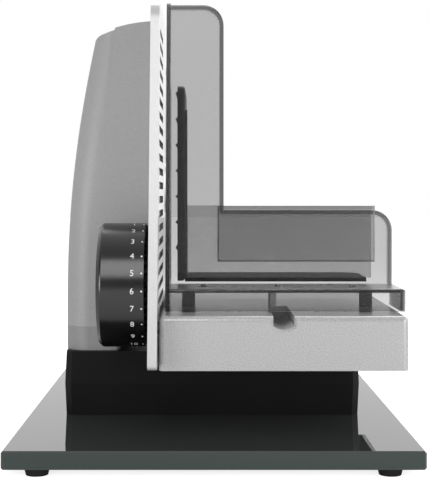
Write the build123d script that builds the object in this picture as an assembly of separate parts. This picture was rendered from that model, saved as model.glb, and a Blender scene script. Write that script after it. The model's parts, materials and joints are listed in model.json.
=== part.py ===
"""Household food slicer on a glass plate, one STEP file for each separate piece.

Frame: +Z up, +Y away from the operator, +X to the carriage side. The origin is on the surface
that the feet stand on, below the middle of the glass plate. Lengths are in millimetres.
"""
import math
import os

from build123d import *

# Glass plate and its feet
glass_width, glass_length, glass_thick, glass_bevel = 225.0, 350.0, 10.0, 1.0
foot_height, foot_radius, foot_tip_radius = 4.0, 7.0, 6.0
foot_inset_x, foot_inset_y = 18.2, 8.5

# Base box, with its parting line at the widest place
base_setback, base_length, base_half_width = 98.0, 231.0, 90.5
base_crease_height, base_height, base_shelf_height = 19.3, 39.0, 31.0
base_draft, base_corner, base_wall, base_step_x = 0.8, 4.0, 2.6, -33.0
wire_hole_width, wire_hole_length = 16.0, 24.0

# Running clearances
running_gap, part_gap, slide_gap = 0.05, 0.3, 0.5

# Blade, its drive and the closed position of the stop plate
blade_radius, blade_thick, blade_dish, blade_bevel = 85.0, 1.5, 2.6, 6.0
blade_edge_x, blade_depth, blade_height, blade_teeth = -31.5, 235.0, 140.0, 60
blade_flat_radius, blade_hole_radius, scallop_radius, scallop_depth = 45.0, 8.0, 5.0, 0.9
shaft_radius, hub_radius, hub_thick, lock_radius, lock_thick = 5.0, 26.0, 3.7, 20.0, 1.7
lock_bevel, lock_slot, lock_slot_depth = 1.2, 2.4, 1.0
bearing_outer_radius, bush_wall, bush_length, bearing_length = 13.0, 3.0, 8.0, 23.0
worm_module, wheel_teeth, wheel_width, worm_pitch_radius, worm_turns = 2.0, 26, 9.0, 7.0, 3.5
worm_backlash, pressure_angle, gear_middle_x = 0.5, 20.0, -70.0
wheel_holes, wheel_hole_circle, wheel_hole_radius = 6, 15.0, 4.5
shaft_end, clip_groove, clip_thick, clip_wall, clip_gap = 4.0, 0.8, 1.0, 3.0, 4.0
motor_radius, motor_length, motor_wall, motor_cap = 15.5, 48.0, 1.5, 6.0
worm_shaft_radius, armature_radius, armature_length, magnet_thick = 2.5, 11.0, 28.0, 2.2
frame_plate, frame_shelf_reach, worm_room = 3.0, 11.0, 20.0

# Housing on the left, above a collar
housing_left, housing_upright, housing_lean_radius = -90.7, 73.0, 770.0
housing_setback, housing_length, housing_wall = 103.0, 222.0, 3.0
front_lean_radius, rear_lean_radius, crown_radius, crown_x, crown_height = 1000.0, 650.0, 92.0, -33.0, 247.7
crown_depth, crown_sweep, crown_spread = 215.0, 1061.0, 22.0
shoulder_x, shoulder_drop, shoulder_lean, shoulder_radius = -74.1, 9.7, 0.2, 9.0
pocket_wall_x, rear_wall_x, pocket_depth, collar_height = -57.0, -50.0, 178.0, 14.7
front_corner, rear_corner, small_corner, tiny_corner = 14.0, 30.0, 3.0, 0.5
hood_right_x, hood_length, hood_arch_radius, hood_gap = -37.5, 120.0, 70.0, 2.0
nose_radius, nose_tip_radius = 46.0, 36.0
ring_thick, ring_gap, ring_start_angle, ring_end_angle = 3.5, 1.5, 35.0, 110.0

# Stop plate with its ribs and guide rods
plate_face_x, plate_thick, plate_travel = -30.8, 5.2, 15.0
plate_foot_front, plate_top_front, plate_rear = 17.0, 61.0, 175.0
plate_bottom, plate_top, plate_top_corner, plate_blade_gap = 39.5, 248.5, 14.0, 4.0
groove_pitch, groove_width, groove_depth, groove_end = 8.25, 4.2, 1.2, 120.0
groove_first, groove_count, groove_margin = 58.0, 22, 12.0
rod_radius, rod_flange_radius, rod_flange = 4.0, 8.0, 3.0
rod_reach, bush_reach = 29.5, 8.0
rod_places = ((165.0, 64.0), (138.0, 126.0))

# Cover on the back of the stop plate, which slides over the housing's front and top
shroud_left, shroud_lean_radius, shroud_wall, shroud_rear = -68.5, 1850.0, 0.9, 176.0
shroud_flange, shroud_flange_depth = 3.0, 5.0

# Thickness knob, its gears and the lead screw
knob_radius, knob_depth, knob_height, knob_left_x = 35.75, 62.0, 82.9, -65.0
knob_wall, knob_bevel, knob_hub_radius, axle_radius, axle_flange = 3.0, 2.0, 9.0, 5.0, 0.8
gear_module, knob_teeth, pinion_teeth, gear_width, gear_backlash = 1.5, 44, 24, 1.6, 0.35
screw_radius, screw_reach, screw_seat, nut_radius, nut_length, nut_flange = 4.0, 29.0, 3.0, 6.0, 8.0, 0.8

# Carriage on its rail
tray_left, tray_right, tray_setback, tray_length = -30.4, 110.0, 38.7, 175.0
tray_bottom, tray_top, tray_wall, tray_corner = 36.3, 66.9, 2.5, 3.0
notch_x, notch_width, notch_depth, notch_arc, notch_flare, channel_end = 39.8, 11.8, 7.6, 10.0, 1.2, 98.0
rail_x, rail_width, rail_height, rail_setback, rail_margin, rail_bevel = 40.0, 24.0, 4.6, 103.0, 2.0, 0.8
shoe_side, shoe_length, shoe_places = 4.0, 25.0, (120.5, 175.5)
skid_x, skid_width, skid_length, skid_place, skid_bevel = 80.0, 8.0, 20.0, 160.0, 2.0
carriage_travel = 135.0

# Clear hand guard on its posts
guard_left, guard_right, guard_wall, guard_setback, guard_front = -27.6, 110.0, 2.5, 102.0, 61.0
guard_tall_right, guard_top, guard_low_top, guard_corner = 7.0, 251.0, 125.6, 12.5
guard_flange_top, guard_rim, guard_skirt_side, guard_round = 80.3, 8.0, 2.0, 1.5
guard_lean_top, post_radius, post_places, post_setback = 14.0, 4.0, (-14.4, 94.0), 98.0
pin_radius, pin_x, pin_setback = 2.5, 37.0, 101.0
boss_radius, boss_height, boss_places, boss_setback = 2.4, 1.5, (-4.4, 39.7, 83.7), 80.0

# Pusher hung on the guard's low edge
pusher_wall, pusher_right, flap_left, flap_bottom = 2.5, 98.9, 3.2, 94.3
flap_setback, back_setback, pusher_left, pusher_bottom = 92.0, 108.5, -16.8, 81.0
tooth_plate_thick, tooth_plate_corner, tooth_plate_round = 4.7, 6.0, 2.0
web_thick, web_length, web_top, flap_bevel = 1.5, 46.0, 187.8, 1.0
tooth_rows, tooth_columns, tooth_first, tooth_pitch = 7, 5, 101.5, 16.2
tooth_base, tooth_height, tooth_taper, tooth_edge, tooth_side = 2.6, 1.4, 40.0, 4.3, 7.6
floor_depth, floor_thick, floor_corner, floor_right = 48.0, 2.5, 12.0, 96.0

# Switch, mains inlet and supply board
switch_depth, switch_height, bezel_length, bezel_width, bezel_thick = 141.0, 63.0, 24.0, 15.0, 1.2
switch_length, switch_width, switch_body_depth, switch_floor = 20.0, 12.0, 11.0, 2.0
rocker_length, rocker_width, rocker_thick, rocker_tilt, rocker_gap = 15.0, 7.6, 4.4, 7.0, 0.9
rocker_pin_radius, rocker_pin_length = 1.2, 1.2
gland_x, gland_height, gland_radius, gland_bore, gland_flange, gland_length = -60.0, 10.0, 6.0, 3.6, 8.5, 10.0
board_size, board_thick, board_x, board_inset, standoff_height = (52.0, 46.0), 1.6, -58.0, 59.0, 5.0
board_blocks = (((-11.0, -4.0), (14.0, 20.0, 9.0)), ((11.0, 10.0), (14.0, 12.0, 6.0)))
can_place, can_radius, can_height = (10.0, -8.0), 5.0, 9.0

# Fasteners
screw_shank, screw_head_radius, screw_head, screw_grip = 2.0, 3.8, 2.2, 12.0
base_screw_side, base_screw_inset = 20.5, 18.0
boss_wall = 2.5
housing_screw_front, housing_screw_rear = 45.0, 52.0

# Places worked out from the sizes above
glass_top = foot_height + glass_thick
front_edge = -glass_length / 2
base_front = front_edge + base_setback
base_rear = base_front + base_length
base_bottom_half = base_half_width - base_draft
crease_z, base_top, shelf_z = (glass_top + h for h in (base_crease_height, base_height, base_shelf_height))
blade_y, blade_z = front_edge + blade_depth, glass_top + blade_height
plate_back_x = plate_face_x - plate_thick
knob_y, knob_z = front_edge + knob_depth, glass_top + knob_height
wheel_pitch_radius = worm_module * wheel_teeth / 2
worm_y = blade_y - wheel_pitch_radius - worm_pitch_radius
worm_lead = math.pi * worm_module
screw_y = knob_y + gear_module * (knob_teeth + pinion_teeth) / 2
collar_top = base_top + collar_height
tray_top_z, tray_bottom_z = glass_top + tray_top, glass_top + tray_bottom
tray_front = front_edge + tray_setback
tray_ceiling = tray_top_z - tray_wall
rail_length = shoe_places[-1] + shoe_length / 2 + carriage_travel + rail_margin - rail_setback
guard_y, guard_front_y = front_edge + guard_setback, front_edge + guard_front
flange_z = glass_top + guard_flange_top
low_edge_z = glass_top + guard_low_top
blade_back_x = blade_edge_x - blade_dish - blade_thick
hub_left_x = blade_back_x - hub_thick
bearing_right_x = hub_left_x - slide_gap
bearing_left_x = bearing_right_x - bearing_length


def block(x, y, z):
    """Box between the low and high limits on each axis."""
    return Pos(sum(x) / 2, sum(y) / 2, sum(z) / 2) * Box(x[1] - x[0], y[1] - y[0], z[1] - z[0])


def about(middle, length):
    """Limits of a length centred on a place."""
    return middle - length / 2, middle + length / 2


def rod_x(y, z, radius, x):
    """Round bar along X between two limits."""
    return Pos(sum(x) / 2, y, z) * Rot(0, 90, 0) * Cylinder(radius, x[1] - x[0])


def rod_z(x, y, radius, z):
    """Upright round bar between two heights."""
    return Pos(x, y, sum(z) / 2) * Cylinder(radius, z[1] - z[0])


def turned_x(y, z, points):
    """Solid of revolution about an axis along X, from (radius, x) points."""
    return Pos(0, y, z) * Rot(0, 90, 0) * revolve(Plane.XZ * Polygon(*points, align=None), Axis.Z)


def side_profile(points, x):
    """Outline of (y, z) points, extruded along X between two limits."""
    return Pos(x[0], 0, 0) * extrude(Plane.YZ * Polygon(*points, align=None), x[1] - x[0])


def upright_edges(shape):
    return shape.edges().filter_by(Axis.Z)


def screw_up(x, y, z, grip=screw_grip):
    """Pan head screw that points up, its head below z."""
    return rod_z(x, y, screw_head_radius, (z - screw_head, z)) + rod_z(x, y, screw_shank, (z, z + grip))


def save(name, shape):
    """Write one piece, or a group of separate solids given as a list."""
    solids = [s for item in (shape if isinstance(shape, list) else [shape]) for s in item.solids()]
    export_step(solids[0] if len(solids) == 1 else Compound(solids), f"parts/{name}.step")


def gear_outline(module, teeth, backlash, turn=0.0):
    """Involute tooth outline round the origin, as a polygon with a few points on each flank."""
    pitch = module * teeth / 2
    base = pitch * math.cos(math.radians(pressure_angle))
    root, tip = pitch - 1.25 * module, pitch + module

    def involute(radius):
        angle = math.acos(min(1.0, base / radius))
        return math.tan(angle) - angle

    flank = [root, max(base, root + 0.1 * module), pitch, tip]
    half_pitch = (math.pi * module - 2 * backlash) / (4 * pitch)
    half = [half_pitch + involute(pitch) - involute(max(base, r)) for r in flank]
    points = []
    for tooth in range(teeth):
        middle = 2 * math.pi * tooth / teeth + math.radians(turn)
        rising = [(r, middle - h) for r, h in zip(flank, half)]
        falling = [(r, middle + h) for r, h in reversed(list(zip(flank, half)))]
        points += [(r * math.cos(a), r * math.sin(a)) for r, a in rising + falling]
    return Polygon(*points, align=None)


def spur_gear(module, teeth, y, z, x, bore, turn=0.0):
    face = gear_outline(module, teeth, gear_backlash, turn) - Circle(bore)
    return Pos(x[0], y, z) * extrude(Plane.YZ * face, x[1] - x[0])


# Base group
def glass_plate():
    plate = block((-glass_width / 2, glass_width / 2), (front_edge, -front_edge), (foot_height, glass_top))
    plate = chamfer(plate.edges(), glass_bevel)
    for x, y in base_screw_places():
        plate -= rod_z(x, y, screw_shank + part_gap, (0, glass_top + 1))
        plate -= rod_z(x, y, screw_head_radius + part_gap, (0, foot_height + screw_head))
    return plate


def base_screw_places():
    x = base_half_width - base_screw_side
    rows = base_front + base_screw_inset, base_rear - base_screw_inset
    return [(side * x, y) for side in (-1, 1) for y in rows]


def feet():
    x, y = glass_width / 2 - foot_inset_x, glass_length / 2 - foot_inset_y
    cone = Pos(0, 0, foot_height / 2) * Cone(foot_tip_radius, foot_radius, foot_height)
    return [Pos(sx * x, sy * y, 0) * cone for sx in (-1, 1) for sy in (-1, 1)]


def base_section(z, half_width, inset):
    middle = (base_front + base_rear) / 2
    draft = base_half_width - half_width
    face = Rectangle(2 * (half_width - inset), base_length - 2 * (draft + inset))
    return Pos(0, middle, z) * chamfer(face.vertices(), base_corner)


def base_form(z0, half0, z1, half1, inset=0.0):
    return loft([base_section(z0, half0, inset), base_section(z1, half1, inset)])


def base_lower():
    shell = base_form(glass_top, base_bottom_half, crease_z, base_half_width)
    shell -= base_form(glass_top + base_wall, base_bottom_half, crease_z + 1, base_half_width, base_wall)
    floor = glass_top + base_wall
    for x, y in base_screw_places():
        shell += rod_z(x, y, screw_shank + boss_wall, (floor - 1, crease_z - part_gap))
        shell -= rod_z(x, y, screw_shank + running_gap, (0, glass_top + screw_grip))
    for x, y in board_corners():
        shell += rod_z(x, y, boss_wall, (floor - 1, floor + standoff_height))
    gland_z = glass_top + gland_height
    return shell - gland_hole(gland_z)


def gland_hole(z):
    return Pos(gland_x, base_rear, z) * Rot(90, 0, 0) * Cylinder(gland_radius + running_gap, 6 * base_wall)


def gland():
    z = glass_top + gland_height
    outer = base_rear + base_wall
    profile = [(gland_bore, 0), (gland_flange, 0), (gland_flange, base_wall)]
    profile += [(gland_radius, base_wall), (gland_radius, gland_length), (gland_bore, gland_length)]
    return Pos(gland_x, outer, z) * Rot(90, 0, 0) * revolve(Plane.XZ * Polygon(*profile, align=None), Axis.Z)


def board_corners():
    y = base_rear - board_inset
    inset = 2 * boss_wall
    return [(board_x + sx * (board_size[0] / 2 - inset), y + sy * (board_size[1] / 2 - inset))
            for sx in (-1, 1) for sy in (-1, 1)]


def supply_board():
    y = base_rear - board_inset
    z = glass_top + base_wall + standoff_height
    top = z + board_thick
    board = block(about(board_x, board_size[0]), about(y, board_size[1]), (z, top))
    for (dx, dy), (width, length, height) in board_blocks:
        board += block(about(board_x + dx, width), about(y + dy, length), (top, top + height))
    dx, dy = can_place
    return board + rod_z(board_x + dx, y + dy, can_radius, (top, top + can_height))


def base_upper():
    shell = base_form(crease_z, base_half_width, base_top, base_bottom_half)
    width = 2 * base_half_width
    shell -= block((base_step_x, width), (base_front - 1, base_rear + 1), (shelf_z, base_top + 1))
    hollow = base_form(crease_z - 1, base_half_width, base_top - base_wall, base_bottom_half, base_wall)
    step = base_step_x - base_wall
    hollow -= block((step, width), (base_front, base_rear), (shelf_z - base_wall, base_top))
    shell -= hollow
    for x, y in housing_screw_places():
        shell -= rod_z(x, y, screw_shank + part_gap, (crease_z, base_top + 1))
    wire_hole = about(gear_middle_x, wire_hole_width), about(worm_y, wire_hole_length)
    return shell - block(*wire_hole, (crease_z, base_top + 1))


def housing_screw_places():
    x = (housing_left + pocket_wall_x) / 2
    near = front_edge + housing_setback
    return [(x, near + housing_screw_front), (x, near + housing_length - housing_screw_rear)]


# Housing group
def lean(height, radius):
    """How far a side has curved inwards at a height, above its upright part."""
    return max(0.0, height - housing_upright) ** 2 / 2 / radius


def housing_near(height, inset=0.0):
    return front_edge + housing_setback + lean(height, front_lean_radius) + inset


def housing_heights(low):
    top = crown_height + small_corner
    return [low, housing_upright, (2 * housing_upright + top) / 3, (housing_upright + 2 * top) / 3, top]


def housing_section(height, inset=0.0):
    left = housing_left + lean(height, housing_lean_radius) + inset
    near = housing_near(height, inset)
    far = front_edge + housing_setback + housing_length - lean(height, rear_lean_radius) - inset
    step = front_edge + pocket_depth + inset
    pocket, rear = pocket_wall_x - inset, rear_wall_x - inset
    corners = [(left, near), (pocket, near), (pocket, step), (rear, step), (rear, far), (left, far)]
    face = Polygon(*corners, align=None)
    near_round = min(front_corner, pocket - left - 2 * small_corner)
    far_round = min(rear_corner, rear - left - 2 * small_corner)
    radii = [near_round, small_corner, small_corner, small_corner, small_corner, far_round]
    for corner, radius in zip(corners, radii):
        nearest = face.vertices().sort_by_distance((corner[0], corner[1], 0))[0]
        face = fillet(nearest, max(tiny_corner, radius - inset))
    return Pos(0, 0, glass_top + height) * face


def housing_form(low, inset=0.0):
    body = loft([housing_section(h, inset) for h in housing_heights(low)])
    return body & crown_limit(inset)


def crown_limit(inset=0.0):
    """All space under the arched top of the housing."""
    peak_z, peak_y = glass_top + crown_height, front_edge + crown_depth
    disc = Pos(crown_x, crown_sweep - crown_radius) * Circle(crown_radius - inset)
    corner = (shoulder_x + inset, crown_sweep - shoulder_drop)
    down, up, right = crown_radius, crown_radius / 2, crown_x + 2 * crown_radius
    side = Polygon((corner[0] - shoulder_lean * down, corner[1] - down), (right, corner[1] - down),
                   (right, corner[1] + up), (corner[0] + shoulder_lean * up, corner[1] + up), align=None)
    face = disc & side
    face = fillet(face.vertices().sort_by_distance((corner[0], corner[1], 0))[0], shoulder_radius - inset)
    arch = Rot(-crown_spread / 2, 0, 0) * revolve(Plane.XZ * face, Axis.X, crown_spread)
    arch = Pos(0, peak_y, peak_z - crown_sweep) * arch
    below = block((crown_x - 2 * crown_radius, right), (front_edge, -front_edge), (0, peak_z - crown_radius))
    return arch + below


def motor_housing():
    shell = housing_form(base_height + collar_height)
    shell -= housing_form(base_height + collar_height - 1, housing_wall)
    shell -= wall_holes()
    y, z = switch_place()
    hole = about(y, switch_length + 2 * running_gap), about(z, switch_width + 2 * running_gap)
    return shell - block((housing_left - 1, housing_left + 2 * housing_wall), *hole)


def wall_holes():
    """Holes in the right wall for the blade bearing, the guide bushes and the lead screw nut."""
    span = (pocket_wall_x - 2 * housing_wall, pocket_wall_x + 1)
    holes = rod_x(screw_y, knob_z, nut_radius + running_gap, span)
    for depth, height in rod_places:
        holes += rod_x(front_edge + depth, glass_top + height, bush_radius() + running_gap, span)
    bearing_span = (rear_wall_x - 2 * housing_wall, rear_wall_x + 1)
    return holes + rod_x(blade_y, blade_z, bearing_outer_radius + running_gap, bearing_span)


def bush_radius():
    return rod_radius + running_gap + bush_wall


def collar():
    low, high = base_height, base_height + collar_height
    ring = loft([housing_section(low), housing_section(high)])
    ring -= loft([housing_section(low - 1, housing_wall), housing_section(high + 1, housing_wall)])
    for x, y in housing_screw_places():
        ring += block((housing_left + 1, pocket_wall_x - 1), (y - 6, y + 6), (base_top, collar_top))
        ring -= rod_z(x, y, screw_shank + running_gap, (base_top - 1, base_top + screw_grip))
    return ring


def hood():
    y0 = front_edge + pocket_depth + hood_gap
    high = glass_top + crown_height + 1
    shape = block((rear_wall_x, hood_right_x), (y0, y0 + hood_length), (blade_z, high))
    shape = fillet(upright_edges(shape).filter_by(lambda e: e.center().X > rear_wall_x + 1), small_corner)
    arch = rod_x(blade_y, blade_z, hood_arch_radius, (rear_wall_x - 1, hood_right_x + 1))
    return (shape & crown_limit()) - arch


def guard_ring():
    inner = blade_radius + ring_gap
    x = (hood_right_x, blade_edge_x)
    ring = rod_x(blade_y, blade_z, inner + ring_thick, x) - rod_x(blade_y, blade_z, inner, x)
    reach = 2 * blade_radius
    wedge = [(blade_y, blade_z)]
    for angle in (ring_start_angle, (ring_start_angle + ring_end_angle) / 2, ring_end_angle):
        a = math.radians(angle)
        wedge.append((blade_y + reach * math.cos(a), blade_z + reach * math.sin(a)))
    return ring & side_profile(wedge, x)


def nose():
    tip = bearing_right_x - slide_gap
    bore = bearing_outer_radius + running_gap
    profile = [(bore, rear_wall_x), (nose_radius, rear_wall_x), (nose_radius, rear_wall_x + 2),
               (nose_tip_radius, tip), (bore, tip)]
    return turned_x(blade_y, blade_z, profile)


# Drive
def shelf_limits():
    return blade_z - worm_room - frame_plate, blade_z + worm_room


def gear_frame():
    low, high = shelf_limits()
    right = rear_wall_x - housing_wall
    plate_x = (right - frame_plate, right)
    y = (worm_y - frame_shelf_reach, blade_y + 2 * bearing_outer_radius)
    frame = block(plate_x, y, (low, high + frame_plate))
    shelf_y = (worm_y - frame_shelf_reach, worm_y + frame_shelf_reach)
    for z in (low, high):
        frame += block((gear_middle_x - frame_shelf_reach, right), shelf_y, (z, z + frame_plate))
    frame += rod_x(blade_y, blade_z, bearing_outer_radius, (bearing_left_x, bearing_right_x))
    bore = shaft_radius + running_gap + bush_wall
    frame -= rod_x(blade_y, blade_z, bore, (bearing_left_x - 1, bearing_right_x + 1))
    worm_bore = worm_shaft_radius + running_gap + bush_wall
    return frame - rod_z(gear_middle_x, worm_y, worm_bore, (low - 1, high + frame_plate + 1))


def sleeve_x(y, z, bore, wall, x):
    return rod_x(y, z, bore + wall, x) - rod_x(y, z, bore, x)


def shaft_bushes():
    bore = shaft_radius + running_gap
    ends = [(bearing_left_x, bearing_left_x + bush_length), (bearing_right_x - bush_length, bearing_right_x)]
    return [sleeve_x(blade_y, blade_z, bore, bush_wall, x) for x in ends]


def worm_bushes():
    low, high = shelf_limits()
    bore = worm_shaft_radius + running_gap
    spans = [(low, low + frame_plate), (high, high + frame_plate)]
    bushes = []
    for z in spans:
        bush = rod_z(gear_middle_x, worm_y, bore + bush_wall, z)
        bushes.append(bush - rod_z(gear_middle_x, worm_y, bore, z))
    return bushes


def motor_span():
    low, _ = shelf_limits()
    return low - motor_length, low


def motor_can():
    low, high = motor_span()
    can = rod_z(gear_middle_x, worm_y, motor_radius, (low + motor_cap, high))
    can -= rod_z(gear_middle_x, worm_y, motor_radius - motor_wall, (low, high - motor_wall))
    return can - rod_z(gear_middle_x, worm_y, worm_shaft_radius + 1, (low, high + 1))


def motor_end_cap():
    low, _ = motor_span()
    cap = rod_z(gear_middle_x, worm_y, motor_radius, (low, low + motor_cap))
    return cap - rod_z(gear_middle_x, worm_y, worm_shaft_radius + running_gap, (low - 1, low + motor_cap + 1))


def magnets():
    low, high = motor_span()
    z = (low + motor_cap + 4, high - motor_wall - 4)
    outer = motor_radius - motor_wall
    ring = rod_z(gear_middle_x, worm_y, outer, z) - rod_z(gear_middle_x, worm_y, outer - magnet_thick, z)
    split = block((gear_middle_x - outer, gear_middle_x + outer), (worm_y - 4, worm_y + 4), z)
    return list((ring - split).solids())


def armature():
    low, high = motor_span()
    middle = (low + motor_cap + high) / 2
    z = (middle - armature_length / 2, middle + armature_length / 2)
    core = rod_z(gear_middle_x, worm_y, armature_radius, z)
    slot = block((-1.2, 1.2), (armature_radius - 3, armature_radius + 1), z)
    for turn in range(0, 360, 60):
        core -= Pos(gear_middle_x, worm_y, 0) * Rot(0, 0, turn) * slot
    return core - rod_z(gear_middle_x, worm_y, worm_shaft_radius, z)


def worm_shaft():
    low, _ = motor_span()
    _, high = shelf_limits()
    shaft = rod_z(gear_middle_x, worm_y, worm_shaft_radius, (low, high + frame_plate))
    root = worm_pitch_radius - 1.2 * worm_module
    tip = worm_pitch_radius + worm_module
    slope = math.tan(math.radians(pressure_angle))
    half = (worm_lead / 2 - worm_backlash) / 2
    wide, narrow = half + (worm_pitch_radius - root + 0.5) * slope, half - worm_module * slope
    length = worm_turns * worm_lead
    thread = Polygon((root - 0.5, -wide), (tip, -narrow), (tip, narrow), (root - 0.5, wide), align=None)
    path = Helix(worm_lead, length, worm_pitch_radius)
    thread = sweep(Plane.XZ * thread, path=path, is_frenet=True)
    core_half = length / 2 + worm_module
    core = Cylinder(root, 2 * core_half)
    # Three and a half turns about the middle leave a gap facing the wheel's middle tooth.
    place = Pos(gear_middle_x, worm_y, blade_z)
    return shaft + place * core + place * Pos(0, 0, -length / 2) * thread


def worm_wheel():
    face = gear_outline(worm_module, wheel_teeth, worm_backlash)
    twist = math.degrees(wheel_width / 2 / worm_pitch_radius * (worm_lead / 2 / math.pi) / wheel_pitch_radius)
    ends = []
    for side, x in zip((-1, 1), about(gear_middle_x, wheel_width)):
        ends.append(Pos(x, blade_y, blade_z) * (Plane.YZ * (Rot(0, 0, side * twist) * face)))
    wheel = loft(ends, ruled=True)
    span = about(gear_middle_x, 2 * wheel_width)
    wheel -= rod_x(blade_y, blade_z, shaft_radius, span)
    for turn in range(wheel_holes):
        angle = 2 * math.pi * turn / wheel_holes
        y, z = wheel_hole_circle * math.cos(angle), wheel_hole_circle * math.sin(angle)
        wheel -= rod_x(blade_y + y, blade_z + z, wheel_hole_radius, span)
    return wheel


def shaft_left_x():
    return gear_middle_x - wheel_width / 2 - shaft_end


def blade_shaft():
    shaft = rod_x(blade_y, blade_z, shaft_radius, (shaft_left_x(), blade_back_x))
    return shaft - sleeve_x(blade_y, blade_z, shaft_radius - clip_groove, clip_wall, clip_span())


def clip_span():
    """Limits of the clip, against the worm wheel's left face."""
    right = gear_middle_x - wheel_width / 2
    return right - clip_thick, right


def shaft_clip():
    clip = sleeve_x(blade_y, blade_z, shaft_radius - clip_groove, clip_wall, clip_span())
    return clip - block(clip_span(), about(blade_y, clip_gap), (blade_z, blade_z + 3 * shaft_radius))


def blade_hub():
    bore = shaft_radius
    profile = [(bore, hub_left_x), (shaft_radius + 4, hub_left_x), (hub_radius, hub_left_x + hub_thick / 2),
               (hub_radius, blade_back_x), (bore, blade_back_x)]
    return turned_x(blade_y, blade_z, profile)


def blade():
    back, face = blade_back_x, blade_back_x + blade_thick
    edge = blade_radius - blade_bevel
    drop = blade_edge_x - face
    share = (edge - blade_flat_radius) / (blade_radius - blade_flat_radius)
    profile = [(blade_hole_radius, back), (blade_flat_radius, back), (edge, back + drop * share),
               (blade_radius, blade_edge_x - 0.2), (blade_radius, blade_edge_x),
               (blade_flat_radius, face), (blade_hole_radius, face)]
    disc = turned_x(blade_y, blade_z, profile)
    reach = blade_radius + scallop_radius - scallop_depth
    cutter = rod_x(0, 0, scallop_radius, (blade_edge_x - 3, blade_edge_x + 1))
    cuts = [Pos(0, blade_y + reach * math.cos(a), blade_z + reach * math.sin(a)) * cutter
            for a in (2 * math.pi * k / blade_teeth for k in range(blade_teeth))]
    return disc - cuts


def blade_lock():
    face = blade_back_x + blade_thick
    stem, top = blade_hole_radius - running_gap, face + lock_thick
    profile = [(0, blade_back_x), (stem, blade_back_x), (stem, face), (lock_radius, face),
               (lock_radius - lock_bevel, top), (0, top)]
    cap = turned_x(blade_y, blade_z, profile)
    slot_x = about(top, 2 * lock_slot_depth)
    return cap - block(slot_x, about(blade_y, lock_slot), about(blade_z, lock_radius))


# Stop plate group
def plate_front_depth(height):
    share = (height - plate_bottom) / (plate_top - plate_bottom)
    return plate_foot_front + share * (plate_top_front - plate_foot_front)


def stop_plate():
    low, high = glass_top + plate_bottom, glass_top + plate_top
    rear = front_edge + plate_rear
    foot_front, top_front = front_edge + plate_foot_front, front_edge + plate_top_front
    outline = [(foot_front, low), (rear, low), (rear, high), (top_front, high)]
    face = Polygon(*outline, align=None)
    for (y, z), radius in ((outline[3], plate_top_corner), (outline[0], small_corner)):
        face = fillet(face.vertices().sort_by_distance((y, z, 0))[0], radius)
    plate = Pos(plate_back_x, 0, 0) * extrude(Plane.YZ * face, plate_thick)
    plate -= rod_x(blade_y, blade_z, blade_radius + plate_blade_gap, (plate_back_x - 1, plate_face_x + 1))
    grooves = []
    for row in range(groove_count):
        height = groove_first + row * groove_pitch
        start = plate_front_depth(height) + groove_margin
        length = groove_end - start
        slot = SlotOverall(length, groove_width)
        grooves.append(Pos(front_edge + start + length / 2, glass_top + height) * slot)
    cut = extrude(Plane.YZ * (Sketch() + grooves), groove_depth + 1)
    plate -= Pos(plate_face_x - groove_depth, 0, 0) * cut
    seat = (plate_back_x - 1, plate_back_x + screw_seat)
    return plate - rod_x(screw_y, knob_z, screw_radius + running_gap, seat)


def guide_rods():
    rods = []
    for depth, height in rod_places:
        y, z = front_edge + depth, glass_top + height
        rod = rod_x(y, z, rod_radius, (plate_back_x - rod_reach, plate_back_x))
        rods.append(rod + rod_x(y, z, rod_flange_radius, (plate_back_x - rod_flange, plate_back_x)))
    return rods


def guide_bushes():
    outer = plate_back_x - rod_flange - plate_travel - slide_gap
    x = (outer - bush_reach, outer)
    flange = (pocket_wall_x, outer)
    bushes = []
    for depth, height in rod_places:
        y, z = front_edge + depth, glass_top + height
        bush = sleeve_x(y, z, rod_radius + running_gap, bush_wall, x)
        bushes.append(bush + sleeve_x(y, z, rod_radius + running_gap, 2 * bush_wall, flange))
    return bushes


def shroud_form(low, inset, left_gap, right, rear):
    """Solid behind the cover's front, as far as a right and a rear plane."""
    sections = []
    for height in housing_heights(low):
        left = shroud_left + lean(height, shroud_lean_radius) - left_gap
        near = housing_near(height, inset)
        corners = [(left, near), (right, near), (right, rear), (left, rear)]
        sections.append(Pos(0, 0, glass_top + height) * Polygon(*corners, align=None))
    return loft(sections) & crown_limit(inset)


def plate_shroud():
    low = base_height + collar_height + slide_gap
    rear = front_edge + shroud_rear
    outer = shroud_form(low, -part_gap - shroud_wall, 0.0, plate_back_x, rear)
    beyond = 2 * shroud_flange_depth
    hollow = shroud_form(low - 1, -part_gap, beyond, plate_back_x - shroud_flange, rear + beyond)
    hollow += shroud_form(low - 1, shroud_flange_depth, 0.0, plate_back_x + 1, rear + beyond)
    tip = gear_module * (pinion_teeth / 2 + 1)
    open_from = min(gear_span()[0], plate_back_x - shroud_flange) - slide_gap
    window = rod_x(screw_y, knob_z, tip + slide_gap, (open_from, plate_back_x + 1))
    return outer - hollow - window


def gear_span():
    right = plate_back_x - axle_flange - running_gap
    return right - gear_width, right


def knob_axle():
    axle = rod_x(knob_y, knob_z, axle_radius, (knob_left_x + knob_wall, plate_back_x))
    flange = (plate_back_x - axle_flange, plate_back_x)
    return axle + rod_x(knob_y, knob_z, axle_radius + 4, flange)


def knob():
    left, right = knob_left_x, gear_span()[0]
    bore = axle_radius + running_gap
    inner = knob_radius - knob_wall
    cap, end = left + knob_wall, left + knob_wall - running_gap
    profile = [(0, left), (knob_radius - knob_bevel, left), (knob_radius, left + knob_bevel),
               (knob_radius, right), (inner, right), (inner, cap), (knob_hub_radius, cap),
               (knob_hub_radius, right), (bore, right), (bore, end), (0, end)]
    drum = turned_x(knob_y, knob_z, profile)
    rim = drum.edges().filter_by(GeomType.CIRCLE).filter_by(
        lambda e: abs(e.radius - knob_radius) < 0.1 and e.center().X < left + knob_bevel + 0.1)
    return fillet(rim, knob_bevel)


def knob_gear():
    return spur_gear(gear_module, knob_teeth, knob_y, knob_z, gear_span(), knob_hub_radius - 2)


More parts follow.
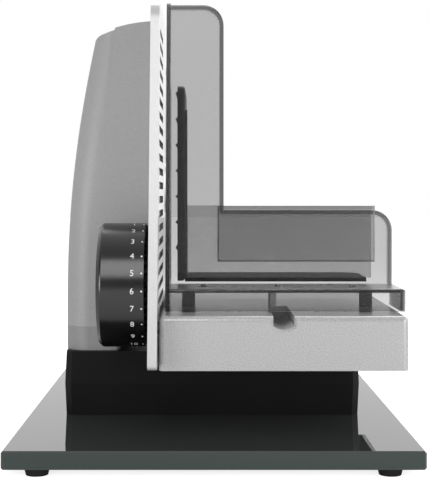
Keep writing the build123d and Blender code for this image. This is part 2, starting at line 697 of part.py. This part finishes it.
def screw_pinion():
    half_pitch = 180 / pinion_teeth
    return spur_gear(gear_module, pinion_teeth, screw_y, knob_z, gear_span(), screw_radius, half_pitch)


def lead_screw():
    span = (plate_back_x - screw_reach, plate_back_x + screw_seat - running_gap)
    return rod_x(screw_y, knob_z, screw_radius, span)


def screw_nut():
    right = gear_span()[0] - plate_travel - slide_gap
    bore = screw_radius + running_gap
    wall = nut_radius - bore
    left = right - nut_length
    nut = sleeve_x(screw_y, knob_z, bore, wall, (left, right))
    return nut + sleeve_x(screw_y, knob_z, bore, wall + nut_flange, (left, pocket_wall_x - housing_wall))


# Carriage group
def notch_profile(grow=0.0):
    """Slot with a shallow round bottom in the tray's front edge."""
    radius = notch_arc + grow
    face = Circle(radius) & Rectangle(notch_width + 2 * grow, 2 * radius)
    return Pos(notch_x, tray_top_z - notch_depth + notch_arc) * face


def carriage_tray():
    x, y, z = (tray_left, tray_right), (tray_front, tray_front + tray_length), (tray_bottom_z, tray_top_z)
    shell = block(x, y, z)
    shell = fillet(upright_edges(shell) + shell.edges().group_by(Axis.Z)[-1], tray_corner)
    inside = [(low + tray_wall, high - tray_wall) for low, high in (x, y)]
    shell -= block(*inside, (z[0] - 1, tray_ceiling))
    channel = channel_end - tray_setback
    trough = Pos(0, y[0], 0) * extrude(Plane.XZ * notch_profile(tray_wall), -(channel + tray_wall))
    shell += trough & block(x, (y[0] + tray_corner, y[1]), (z[0], tray_top_z - tray_wall / 2))
    shell -= Pos(0, y[0] - 1, 0) * extrude(Plane.XZ * notch_profile(), -(channel + 1))
    wide, narrow = (Plane.XZ * notch_profile(grow) for grow in (notch_flare, 0.0))
    shell -= loft([Pos(0, y[0], 0) * wide, Pos(0, y[0] + notch_flare, 0) * narrow])
    drill = rod_z(0, front_edge + post_setback, screw_shank + part_gap, (tray_ceiling - 1, tray_top_z + 1))
    return shell - [Pos(place, 0, 0) * drill for place in post_places]


def carriage_rail():
    y = (front_edge + rail_setback, front_edge + rail_setback + rail_length)
    rail = block(about(rail_x, rail_width), y, (shelf_z, shelf_z + rail_height))
    top = rail.edges().filter_by(Axis.Y).group_by(Axis.Z)[-1]
    return chamfer(top, rail_bevel)


def glide_shoes():
    shoes = []
    groove = rail_width + 2 * part_gap
    for depth in shoe_places:
        y = about(front_edge + depth, shoe_length)
        shoe = block(about(rail_x, groove + 2 * shoe_side), y, (shelf_z + part_gap, tray_ceiling))
        shoe -= block(about(rail_x, groove), y, (shelf_z, shelf_z + rail_height + part_gap))
        shoes.append(shoe)
    return shoes


def skid():
    y = front_edge + skid_place
    leg = block(about(skid_x, skid_width), about(y, skid_length), (shelf_z + part_gap, tray_ceiling))
    return chamfer(leg.edges().filter_by(Axis.X).group_by(Axis.Z)[0], skid_bevel)


def guard_posts():
    y = front_edge + post_setback
    post = rod_z(0, y, post_radius, (tray_top_z, flange_z - guard_wall))
    post -= rod_z(0, y, screw_shank + running_gap, (tray_top_z - 1, flange_z - 2 * guard_wall))
    return [Pos(x, 0, 0) * post for x in post_places]


def post_screws():
    grip = flange_z - 2 * guard_wall - tray_ceiling - running_gap
    return [screw_up(x, front_edge + post_setback, tray_ceiling, grip) for x in post_places]


def guard_pin():
    y = front_edge + pin_setback
    return rod_z(pin_x, y, pin_radius, (tray_top_z, flange_z - guard_wall))


def guard_outline():
    low, high = flange_z - guard_wall, glass_top + guard_top
    points = [(guard_left, low), (guard_right, low), (guard_right, low_edge_z),
              (guard_tall_right, low_edge_z), (guard_tall_right, high), (guard_left, high)]
    face = Polygon(*points, align=None)
    for corner in (points[2], points[4]):
        face = fillet(face.vertices().sort_by_distance((corner[0], corner[1], 0))[0], guard_corner)
    return face


def hand_guard():
    skirt_low = tray_top_z + part_gap
    skirt_right = guard_right + guard_skirt_side
    back = guard_y + guard_wall
    outline = guard_outline()
    rim = Pos(0, back, 0) * extrude(Plane.XZ * outline, guard_rim)
    recess = offset(outline, -guard_wall)
    guard = rim - Pos(0, guard_y, 0) * extrude(Plane.XZ * recess, guard_rim)
    x = (guard_left, skirt_right)
    guard += block(x, (guard_front_y, back), (flange_z - guard_wall, flange_z))
    guard += block(x, (guard_front_y, guard_front_y + guard_wall), (skirt_low, flange_z))
    guard += block((skirt_right - guard_wall, skirt_right), (guard_front_y, back), (skirt_low, flange_z))
    high = glass_top + guard_top
    side = [(guard_front_y, skirt_low), (back, skirt_low), (back, high), (back - guard_lean_top, high),
            (guard_front_y, flange_z)]
    guard += side_profile(side, (guard_left, guard_left + guard_wall))
    y = front_edge + boss_setback
    for x in boss_places:
        guard += rod_z(x, y, boss_radius, (flange_z, flange_z + boss_height))
    ledge_corner = (skirt_right, guard_front_y, flange_z)
    along, across = (guard.edges().filter_by(a).sort_by_distance(ledge_corner)[0] for a in (Axis.X, Axis.Y))
    return fillet([along, across], guard_round)


# Pusher group
def pusher_shell():
    flap_y = (front_edge + flap_setback, front_edge + flap_setback + pusher_wall)
    back_y = (front_edge + back_setback, front_edge + back_setback + pusher_wall)
    roof = (low_edge_z + part_gap, low_edge_z + part_gap + pusher_wall)
    bottom = glass_top + pusher_bottom + floor_thick
    shell = block((flap_left, pusher_right), flap_y, (glass_top + flap_bottom, roof[1]))
    front = shell.faces().sort_by(Axis.Y)[0]
    shell = chamfer(front.edges().sort_by(Axis.Z)[:-1], flap_bevel)
    shell += block((guard_tall_right + slide_gap, pusher_right), (flap_y[0], back_y[1]), roof)
    web_y = (back_y[0], back_y[0] + web_length)
    shell += block((pusher_left, pusher_left + web_thick), web_y, (bottom, glass_top + web_top))
    return shell + block((pusher_left, pusher_right), back_y, (bottom, roof[1]))


def pusher_floor():
    low = glass_top + pusher_bottom
    y = (front_edge + back_setback, front_edge + back_setback + floor_depth)
    floor = block((pusher_left, floor_right), y, (low, low + floor_thick))
    corner = upright_edges(floor).sort_by_distance((floor_right, y[1], low))[0]
    return fillet(corner, floor_corner)


def tooth_plate():
    low, first = glass_top + pusher_bottom, glass_top + tooth_first
    high = first + (tooth_rows - 1) * tooth_pitch + tooth_edge
    y0 = front_edge + back_setback
    y1 = y0 + (tooth_columns - 1) * tooth_pitch + 2 * tooth_side
    face = Polygon((y0, low), (y1, low), (y1, high), (y0, high), align=None)
    face = fillet(face.vertices(), tooth_plate_corner)
    left = pusher_left - tooth_plate_thick
    plate = Pos(left, 0, 0) * extrude(Plane.YZ * face, tooth_plate_thick)
    plate = fillet(plate.faces().sort_by(Axis.X)[-1].edges(), tooth_plate_round)
    spike = extrude(Rectangle(tooth_base, tooth_base), tooth_height, taper=tooth_taper)
    spike = Rot(0, -90, 0) * spike
    for row in range(tooth_rows):
        for column in range(tooth_columns):
            plate += Pos(left, y0 + tooth_side + column * tooth_pitch, first + row * tooth_pitch) * spike
    return plate


# Switch
def switch_place():
    return front_edge + switch_depth, glass_top + switch_height


def pivot_x():
    return housing_left + rocker_thick / 2


def switch_body():
    y, z = switch_place()
    outside, inside = housing_left - bezel_thick, housing_left + switch_body_depth
    face = housing_left - running_gap
    body = block((outside, face), about(y, bezel_length), about(z, bezel_width))
    body += block((face, inside), about(y, switch_length), about(z, switch_width))
    well = about(y, rocker_length + 2 * rocker_gap), about(z, rocker_width + 2 * part_gap)
    body -= block((outside - 1, inside - switch_floor), *well)
    pin = rocker_width / 2 + rocker_pin_length + part_gap
    return body - rod_z(pivot_x(), y, rocker_pin_radius + running_gap, (z - pin, z + pin))


def switch_rocker():
    y, z = switch_place()
    half, deep = rocker_length / 2, rocker_thick
    rise = half * math.tan(math.radians(rocker_tilt))
    outline = [(-deep, 0), (-deep - rise, -half), (rise, -half), (0, 0), (rise, half), (-deep - rise, half)]
    cap = extrude(Polygon(*outline, align=None), rocker_width)
    pin = rocker_width / 2 + rocker_pin_length
    cap = Pos(deep / 2, 0, -rocker_width / 2) * cap + rod_z(0, 0, rocker_pin_radius, (-pin, pin))
    return Pos(pivot_x(), y, z) * Rot(0, 0, rocker_tilt) * cap


# Fasteners
def base_screws():
    return [screw_up(x, y, foot_height + screw_head, glass_thick + screw_grip - screw_head)
            for x, y in base_screw_places()]


def housing_screws():
    low = base_top - base_wall
    return [screw_up(x, y, low, screw_grip) for x, y in housing_screw_places()]


PIECES = {
    "glass_base_plate": glass_plate, "rubber_feet": feet, "base_screws": base_screws,
    "base_shell_lower": base_lower, "base_shell_upper": base_upper, "mains_gland": gland,
    "supply_board": supply_board, "housing_collar": collar, "motor_housing": motor_housing,
    "housing_screws": housing_screws, "blade_hood": hood, "blade_guard_ring": guard_ring,
    "bearing_nose": nose, "gear_frame": gear_frame, "shaft_bushes": shaft_bushes, "worm_bushes": worm_bushes,
    "motor_can": motor_can, "motor_end_cap": motor_end_cap, "motor_magnets": magnets,
    "guide_bushes": guide_bushes, "screw_nut": screw_nut, "carriage_rail": carriage_rail,
    "switch_body": switch_body, "switch_rocker": switch_rocker,
    "armature": armature, "worm_shaft": worm_shaft,
    "worm_wheel": worm_wheel, "blade_shaft": blade_shaft, "shaft_clip": shaft_clip, "blade_hub": blade_hub,
    "blade": blade, "blade_lock": blade_lock,
    "stop_plate": stop_plate, "plate_shroud": plate_shroud, "guide_rods": guide_rods, "knob_axle": knob_axle,
    "thickness_knob": knob, "knob_gear": knob_gear,
    "lead_screw": lead_screw, "screw_pinion": screw_pinion,
    "carriage_tray": carriage_tray, "glide_shoes": glide_shoes, "carriage_skid": skid,
    "guard_posts": guard_posts, "post_screws": post_screws, "guard_pin": guard_pin, "hand_guard": hand_guard,
    "pusher_shell": pusher_shell, "pusher_floor": pusher_floor, "pusher_tooth_plate": tooth_plate,
}

os.makedirs("parts", exist_ok=True)
for piece, make in PIECES.items():
    save(piece, make())
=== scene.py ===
"""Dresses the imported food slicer: materials for every piece, dial marks, light, floor and camera."""
import json
import math

import bmesh
import bpy
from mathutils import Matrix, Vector


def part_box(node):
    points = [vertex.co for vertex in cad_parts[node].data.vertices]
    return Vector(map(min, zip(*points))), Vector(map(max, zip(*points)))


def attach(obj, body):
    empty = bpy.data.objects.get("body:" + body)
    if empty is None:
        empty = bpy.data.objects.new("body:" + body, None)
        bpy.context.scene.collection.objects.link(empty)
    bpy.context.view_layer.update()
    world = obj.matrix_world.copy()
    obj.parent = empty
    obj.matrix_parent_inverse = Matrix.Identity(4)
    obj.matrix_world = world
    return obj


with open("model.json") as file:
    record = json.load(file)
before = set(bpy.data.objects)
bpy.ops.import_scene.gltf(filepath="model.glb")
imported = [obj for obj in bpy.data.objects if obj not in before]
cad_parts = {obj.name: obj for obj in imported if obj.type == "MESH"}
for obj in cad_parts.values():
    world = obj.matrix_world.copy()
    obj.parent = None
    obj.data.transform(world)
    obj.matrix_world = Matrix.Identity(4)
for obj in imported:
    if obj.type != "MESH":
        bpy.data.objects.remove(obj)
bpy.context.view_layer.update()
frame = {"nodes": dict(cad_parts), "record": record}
scene = bpy.context.scene
scene.view_settings.view_transform = "Standard"

MM = 0.001

# Range that most values of a noise lie in
NOISE_STOPS = (0.3, 0.7)

# Photograph's camera: level, its frame moved by shift
IMAGE_WIDTH, IMAGE_HEIGHT = 429, 480
VANISHING_PX = (202, 192)
FOCAL_PX = 1139
SENSOR_MM = 36.0
CAMERA_PLACE = (-6.2 * MM, -775 * MM, 150.7 * MM)
LEVEL_TURN = (math.radians(90), 0, 0)

# Dial marks on the knob: size, place along the knob and angle between numbers
DIAL_NUMBERS = 15
DIGIT_HEIGHT = 3.4 * MM
DIGIT_SHARE_OF_FONT = 0.7
DIGIT_CURVE_STEPS = 3
DIGIT_STEP = math.radians(16)
DIGIT_FIRST = math.radians(78.5)
DIGIT_INSET = 6.5 * MM
DOT_INSET = 1.2 * MM
DOT_RADIUS = 0.5 * MM
DOT_TOP_SHARE = 0.8
DOT_SEGMENTS = 16
MARK_RELIEF = 0.06 * MM

# Nodes whose surface differs from the rest of their slot
OTHER_LOOKS = {
    "pusher_shell": "pusher_clear",
    # The knob's gear is black like the knob, and also painted shade: it stands for the dark gap line
    # between the knob and the plate
    "knob_gear": "black_plastic",
    "pusher_tooth_plate": "grip_plastic",
    # The collar's darker silver is partly painted shade: the shade that falls under the housing's overhang
    "housing_collar": "collar_paint_and_shade",
}

# Clear plastic: share of light mirrored head on, how it grows towards a grazing look, and stops on the way
MIRROR_SHARE = 0.04
GRAZING_POWER = 5
GRAZING_STOPS = (0.0, 0.1, 0.4, 1.0)

# Largest part of a normal along one axis: on a flat wall at least, and on a rounded edge at most
FLAT_NORMAL, ROUND_NORMAL = 0.98, 0.8

# Linear colours
GLASS_EDGE, GLASS_FACE = (0.008, 0.022, 0.017, 1), (0.042, 0.044, 0.044, 1)
BOARD_DARK, BOARD_LIGHT = (0.02, 0.09, 0.04, 1), (0.05, 0.2, 0.09, 1)
BRASS_DARK, BRASS_LIGHT = (0.5, 0.36, 0.14, 1), (0.62, 0.46, 0.2, 1)
WHITE = (1, 1, 1, 1)

# Floor: half its side in metres, its colour, and its glow for each kind of ray
FLOOR_REACH = 6.0
FLOOR_COLOUR = (0.8, 0.8, 0.8, 1)
FLOOR_GLOW = (("Is Camera Ray", 0.8), ("Is Glossy Ray", 0.2), ("Is Transmission Ray", 0.8))

# Surroundings: colour on the camera's side, depth where they turn white, and strength as diffuse light
NEAR_COLOUR = (0.15, 0.15, 0.15, 1)
WHITE_FROM_DEPTH = 0.75
DIFFUSE_STRENGTH = 0.6

# Lamps: name, place and size in metres, and power in watts
LAMP_TARGET = (0, 0, 0.12)
LAMPS = (
    ("key", (-0.15, -1.3, 0.9), (0.3, 0.8), 3.2),
    ("low_left", (-0.9, -1.3, 0.25), (0.8, 0.5), 8.5),
    ("low_right", (0.9, -1.3, 0.25), (0.8, 0.5), 7.5),
    ("right", (1.3, -0.3, 0.65), (1.4, 1.25), 8),
    ("rear", (0.1, 0.6, 1.0), (0.8, 0.5), 5),
)


def grey(level):
    """Linear colour of a grey given on the 0 to 255 display scale, by the sRGB curve."""
    share = level / 255
    value = share / 12.92 if share <= 0.04045 else ((share + 0.055) / 1.055) ** 2.4
    return (value, value, value, 1)


# Node trees
class Nodes:
    """A node tree with short ways to add to it. Inputs are named with _ in place of a space."""

    def __init__(self, tree):
        self.tree = tree

    def add(self, kind, **values):
        """New node, with its inputs and settings."""
        node = self.tree.nodes.new(kind)
        for key, value in values.items():
            name = key.replace("_", " ")
            if name in node.inputs:
                node.inputs[name].default_value = value
            else:
                setattr(node, key, value)
        return node

    def link(self, source, target):
        self.tree.links.new(source, target)

    def calculate(self, operation, *values, clamp=False):
        """Result of a Math node whose inputs are sockets or plain numbers."""
        node = self.add("ShaderNodeMath", operation=operation, use_clamp=clamp)
        for target, value in zip(node.inputs, values):
            if isinstance(value, bpy.types.NodeSocket):
                self.link(value, target)
            else:
                target.default_value = value
        return node.outputs["Value"]

    def remap(self, value, **ends):
        """Value moved from one range to another. Each range is 0 to 1 where its ends aren't given."""
        node = self.add("ShaderNodeMapRange", **ends)
        self.link(value, node.inputs["Value"])
        return node.outputs["Result"]

    def split(self, vector):
        """The X, Y and Z of a vector."""
        node = self.add("ShaderNodeSeparateXYZ")
        self.link(vector, node.inputs["Vector"])
        return node.outputs

    def ramp(self, value, stops):
        """Colour ramp from (position, colour) stops."""
        node = self.add("ShaderNodeValToRGB")
        while len(node.color_ramp.elements) < len(stops):
            node.color_ramp.elements.new(0.5)
        for element, (position, colour) in zip(node.color_ramp.elements, stops):
            element.position = position
            element.color = colour
        self.link(value, node.inputs["Fac"])
        return node.outputs["Color"]


class Surface(Nodes):
    """A material with a Principled shader, and short ways to give it detail."""

    def __init__(self, name, **values):
        self.name = name
        self.material = bpy.data.materials.new(name)
        self.material.use_nodes = True
        super().__init__(self.material.node_tree)
        self.shader = self.tree.nodes["Principled BSDF"]
        for key, value in values.items():
            self.shader.inputs[key.replace("_", " ")].default_value = value

    def place(self):
        return self.add("ShaderNodeTexCoord").outputs["Object"]

    def normal(self):
        return self.add("ShaderNodeNewGeometry").outputs["Normal"]

    def noise(self, scale, detail, stretch=(1, 1, 1)):
        """Noise over the object's own coordinates, in features per metre."""
        mapping = self.add("ShaderNodeMapping", Scale=stretch)
        self.link(self.place(), mapping.inputs["Vector"])
        texture = self.add("ShaderNodeTexNoise", Scale=scale, Detail=detail)
        self.link(mapping.outputs["Vector"], texture.inputs["Vector"])
        return texture.outputs["Fac"]

    def colour(self, value, colours, stops=NOISE_STOPS):
        """Base colour that goes through the colours, one at each stop of a value."""
        self.link(self.ramp(value, list(zip(stops, colours))), self.shader.inputs["Base Color"])
        return self

    def greys(self, value, levels, stops=NOISE_STOPS):
        return self.colour(value, [grey(level) for level in levels], stops)

    def rough(self, value, roughness):
        """Roughness from the first of a pair, where a value is 0, to the second, where it is 1."""
        result = self.remap(value, To_Min=roughness[0], To_Max=roughness[1])
        self.link(result, self.shader.inputs["Roughness"])
        return self

    def bump(self, value, relief):
        """Relief of a height in metres."""
        node = self.add("ShaderNodeBump", Strength=1.0, Distance=relief)
        self.link(value, node.inputs["Height"])
        self.link(node.outputs["Normal"], self.shader.inputs["Normal"])
        return self


# Materials: greys on the display scale, noise and grain in features per metre, relief in metres
def moulded(name, greys, roughness, grain=900, relief=0.03 * MM, shine=0.3):
    """Moulded plastic or rubber with fine grain and slight colour drift."""
    surface = Surface(name, Specular_IOR_Level=shine)
    surface.greys(surface.noise(scale=25, detail=3), greys)
    surface.rough(surface.noise(scale=60, detail=4), roughness)
    return surface.bump(surface.noise(scale=grain, detail=2), relief)


def metal(name, greys, roughness, stretch=(1, 1, 1), grain=1500, relief=0.01 * MM):
    """Bare metal with machining marks, which a stretch draws out along one way."""
    surface = Surface(name, Metallic=1.0)
    marks = surface.noise(scale=grain, detail=3, stretch=stretch)
    return surface.greys(marks, greys).rough(marks, roughness).bump(marks, relief)


def plate_aluminium():
    """Brushed sheet with smooth faces, which look along X, and satin edges."""
    surface = Surface("plate_aluminium", Metallic=0.4)
    marks = surface.noise(scale=2200, detail=3, stretch=(1, 0.08, 1))
    surface.greys(marks, (190, 202)).bump(marks, 0.01 * MM)
    sideways = surface.calculate("ABSOLUTE", surface.split(surface.normal())["X"])
    return surface.rough(sideways, (0.36, 0.08))


def turned_steel(node):
    """Blade steel with fine turning marks round the node's axis, which lies along X."""
    low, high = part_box(node)
    surface = Surface("blade_steel", Metallic=1.0)
    to_axis = (0, -(low.y + high.y) / 2, -(low.z + high.z) / 2)
    around = surface.add("ShaderNodeMapping", Location=to_axis, Scale=(0, 1, 1))
    surface.link(surface.place(), around.inputs["Vector"])
    radius = surface.add("ShaderNodeVectorMath", operation="LENGTH")
    surface.link(around.outputs["Vector"], radius.inputs[0])
    marks = surface.add("ShaderNodeTexNoise", noise_dimensions="1D", Scale=2500, Detail=3)
    surface.link(radius.outputs["Value"], marks.inputs["W"])
    return surface.greys(marks.outputs["Fac"], (186, 206)).rough(marks.outputs["Fac"], (0.24, 0.36))


def silver_paint(name, greys):
    """Satin silver lacquer with metal flake below it."""
    surface = Surface(name, Metallic=0.2, Specular_IOR_Level=0.3)
    surface.greys(surface.noise(scale=2600, detail=1), greys, stops=(0.35, 0.65))
    return surface.rough(surface.noise(scale=40, detail=3), (0.5, 0.58))


def carriage_paint():
    """Satin silver powder coat with a fine speckle."""
    surface = Surface("carriage_paint", Metallic=0.25, Specular_IOR_Level=0.4)
    speckle = surface.noise(scale=1900, detail=2)
    surface.greys(speckle, (154, 178, 198), stops=(0.3, 0.5, 0.72))
    return surface.rough(surface.noise(scale=300, detail=3), (0.2, 0.26)).bump(speckle, 0.005 * MM)


def rounded_edges(surface):
    """1 on rounded edges, whose normals lie between the axes, and 0 on flat walls."""
    parts = surface.split(surface.normal())
    most = 0.0
    for axis in "XYZ":
        most = surface.calculate("MAXIMUM", most, surface.calculate("ABSOLUTE", parts[axis]))
    return surface.remap(most, From_Min=FLAT_NORMAL, From_Max=ROUND_NORMAL)


def smoked_clear(name, smoke, film, rim):
    """Clear moulding, a little scuffed: dark film on its faces, painted shade on its rounded rims, and
    smoke per metre inside.
    """
    surface = Surface(name, Metallic=1.0)
    facing = surface.add("ShaderNodeLayerWeight", Blend=0.5).outputs["Facing"]
    grazing = surface.calculate("POWER", facing, GRAZING_POWER)
    levels = []
    for stop in GRAZING_STOPS:
        mirrored = MIRROR_SHARE + (1 - MIRROR_SHARE) * stop
        levels.append(mirrored / (film + (1 - film) * mirrored))
    surface.colour(grazing, [(level, level, level, 1) for level in levels], GRAZING_STOPS)
    cover = surface.remap(grazing, To_Min=film + (1 - film) * MIRROR_SHARE)
    # Rounded rims get more cover: painted shade that stands for the dark lines refraction draws along them
    alpha = surface.calculate("MULTIPLY_ADD", rounded_edges(surface), rim, cover, clamp=True)
    surface.link(alpha, surface.shader.inputs["Alpha"])
    inside = surface.add("ShaderNodeVolumeAbsorption", Color=(0, 0, 0, 1), Density=smoke)
    surface.link(inside.outputs["Volume"], surface.tree.nodes["Material Output"].inputs["Volume"])
    return surface.rough(surface.noise(scale=60, detail=3), (0.25, 0.31))


def plate_glass():
    """Plate glass with a dark tint: greener where the edge is seen."""
    surface = Surface("plate_glass", IOR=1.6, Coat_Weight=0.3, Coat_Roughness=0.01)
    upwards = surface.split(surface.normal())["Z"]
    surface.colour(upwards, (GLASS_EDGE, GLASS_FACE), stops=(0.2, 0.8))
    return surface.rough(surface.noise(scale=30, detail=3), (0.0, 0.03))


def circuit_board():
    """Green board with darker tracks."""
    surface = Surface("board")
    tracks = surface.noise(scale=220, detail=2, stretch=(1, 3, 1))
    surface.colour(tracks, (BOARD_DARK, BOARD_LIGHT), stops=(0.45, 0.55))
    return surface.rough(tracks, (0.35, 0.5))


def brass():
    """Bush brass with turning marks."""
    surface = Surface("bush_brass", Metallic=1.0)
    marks = surface.noise(scale=900, detail=3, stretch=(8, 1, 1))
    return surface.colour(marks, (BRASS_DARK, BRASS_LIGHT)).rough(marks, (0.25, 0.4))


def make_materials():
    """Every material by its name. Most names are the record's material slots."""
    surfaces = (
        plate_glass(),
        moulded("foot_rubber", greys=(22, 30), roughness=(0.7, 0.85),
                grain=700, relief=0.06 * MM, shine=0.2),
        metal("screw_steel", greys=(170, 186), roughness=(0.3, 0.42), stretch=(6, 1, 1)),
        moulded("black_plastic", greys=(7, 12), roughness=(0.42, 0.55), shine=0.13),
        moulded("grip_plastic", greys=(44, 56), roughness=(0.4, 0.55), grain=400, relief=0.05 * MM),
        circuit_board(),
        silver_paint("silver_paint", greys=(157, 169)),
        # Darker silver for the collar: partly its own tone, partly painted shade from the housing's
        # overhang above it
        silver_paint("collar_paint_and_shade", greys=(140, 152)),
        metal("cast_frame", greys=(165, 190), roughness=(0.45, 0.6), grain=500, relief=0.06 * MM),
        brass(),
        moulded("magnet", greys=(45, 57), roughness=(0.5, 0.7), grain=500, relief=0.05 * MM),
        plate_aluminium(),
        turned_steel("blade"),
        moulded("gear_plastic", greys=(52, 62), roughness=(0.4, 0.55)),
        moulded("knob_plastic", greys=(3, 6), roughness=(0.2, 0.25),
                grain=1500, relief=0.02 * MM, shine=0.8),
        carriage_paint(),
        smoked_clear("smoked_clear", smoke=230, film=0.09, rim=0.35),
        smoked_clear("pusher_clear", smoke=50, film=0.22, rim=0.35),
        moulded("dial_white", greys=(225, 237), roughness=(0.4, 0.5)),
    )
    return {surface.name: surface.material for surface in surfaces}


def dress(materials):
    """Each CAD node takes the material of its slot in the record, or its own look."""
    for part in frame["record"]["subparts"]:
        mesh = frame["nodes"][part["node"]].data
        mesh.materials.clear()
        mesh.materials.append(materials[OTHER_LOOKS.get(part["node"], part["material_slot"])])


# Dial marks
def text_mesh(words):
    """Mesh of a dial number, centred on the origin of its own plane."""
    curve = bpy.data.curves.new("dial_text", "FONT")
    curve.body = words
    curve.size = DIGIT_HEIGHT / DIGIT_SHARE_OF_FONT
    curve.align_x = "CENTER"
    curve.align_y = "CENTER"
    curve.extrude = MARK_RELIEF / 2
    curve.resolution_u = DIGIT_CURVE_STEPS
    holder = bpy.data.objects.new("dial_text", curve)
    scene.collection.objects.link(holder)
    bpy.context.view_layer.update()
    final = holder.evaluated_get(bpy.context.evaluated_depsgraph_get())
    mesh = bpy.data.meshes.new_from_object(final)
    bpy.data.objects.remove(holder)
    bpy.data.curves.remove(curve)
    return mesh


def dot_mesh():
    """Mesh of a dial dot, a low round stud."""
    mesh = bpy.data.meshes.new("dial_dot")
    form = bmesh.new()
    top_radius = DOT_TOP_SHARE * DOT_RADIUS
    bmesh.ops.create_cone(form, cap_ends=True, segments=DOT_SEGMENTS,
                          radius1=DOT_RADIUS, radius2=top_radius, depth=MARK_RELIEF)
    form.to_mesh(mesh)
    form.free()
    return mesh


def dial_marks(material):
    """Numbers and dots that lie round the knob's rim, turned to be read from the front."""
    low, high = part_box("thickness_knob")
    middle_y, middle_z = (low.y + high.y) / 2, (low.z + high.z) / 2
    radius = (high.z - low.z) / 2
    for number in range(DIAL_NUMBERS + 1):
        below = (number - 1) * DIGIT_STEP - DIGIT_FIRST
        marks = (("number", DIGIT_INSET, text_mesh(str(number))), ("dot", DOT_INSET, dot_mesh()))
        for kind, inset, mesh in marks:
            for vertex in mesh.vertices:
                turn = below - vertex.co.y / radius
                out = radius + MARK_RELIEF / 2 + vertex.co.z
                vertex.co = Vector((high.x - inset + vertex.co.x,
                                    middle_y - out * math.cos(turn),
                                    middle_z - out * math.sin(turn)))
            piece = bpy.data.objects.new(f"dial_{kind}_{number}", mesh)
            scene.collection.objects.link(piece)
            mesh.materials.clear()
            mesh.materials.append(material)
            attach(piece, "knob")


# Stage
def make_camera():
    data = bpy.data.cameras.new("camera")
    data.lens = FOCAL_PX / IMAGE_HEIGHT * SENSOR_MM
    data.sensor_width = SENSOR_MM
    data.shift_x = (IMAGE_WIDTH / 2 - VANISHING_PX[0]) / IMAGE_HEIGHT
    data.shift_y = (VANISHING_PX[1] - IMAGE_HEIGHT / 2) / IMAGE_HEIGHT
    camera = bpy.data.objects.new("camera", data)
    camera.location = CAMERA_PLACE
    camera.rotation_euler = LEVEL_TURN
    scene.collection.objects.link(camera)
    scene.camera = camera


def make_floor():
    """Pale floor that shows white to the camera and keeps the object's shadow."""
    mesh = bpy.data.meshes.new("floor")
    signs = ((-1, -1), (1, -1), (1, 1), (-1, 1))
    corners = [(FLOOR_REACH * side, FLOOR_REACH * depth, 0) for side, depth in signs]
    mesh.from_pydata(corners, [], [(0, 1, 2, 3)])
    floor = bpy.data.objects.new("floor", mesh)
    scene.collection.objects.link(floor)
    surface = Surface("floor_white", Base_Color=FLOOR_COLOUR, Roughness=0.9, Specular_IOR_Level=0.0,
                      Emission_Color=WHITE)
    path = surface.add("ShaderNodeLightPath")
    glow = 0.0
    for kind, strength in FLOOR_GLOW:
        glow = surface.calculate("MULTIPLY_ADD", path.outputs[kind], strength, glow)
    surface.link(glow, surface.shader.inputs["Emission Strength"])
    mesh.materials.append(surface.material)


def make_world():
    """Surroundings that are white to the camera, and to other rays darker on the camera's side."""
    world = bpy.data.worlds.new("studio")
    scene.world = world
    world.use_nodes = True
    nodes = Nodes(world.node_tree)
    shader = nodes.tree.nodes["Background"]
    path = nodes.add("ShaderNodeLightPath")
    direction = nodes.add("ShaderNodeTexCoord").outputs["Generated"]
    depth = nodes.remap(nodes.split(direction)["Y"], From_Min=-1)
    whiter = nodes.calculate("ADD", depth, path.outputs["Is Camera Ray"])
    colour = nodes.ramp(whiter, [(0.0, NEAR_COLOUR), (WHITE_FROM_DEPTH, WHITE)])
    nodes.link(colour, shader.inputs["Color"])
    strength = nodes.remap(path.outputs["Is Diffuse Ray"], To_Min=1.0, To_Max=DIFFUSE_STRENGTH)
    nodes.link(strength, shader.inputs["Strength"])


def make_lamps():
    """Area lamps that face the object's middle."""
    for name, place, size, power in LAMPS:
        data = bpy.data.lights.new(name, "AREA")
        data.shape = "RECTANGLE"
        data.size, data.size_y = size
        data.energy = power
        lamp = bpy.data.objects.new(name, data)
        lamp.location = place
        lamp.rotation_euler = (Vector(LAMP_TARGET) - Vector(place)).to_track_quat("-Z", "Y").to_euler()
        scene.collection.objects.link(lamp)


materials = make_materials()
dress(materials)
dial_marks(materials["dial_white"])
make_camera()
make_floor()
make_world()
make_lamps()
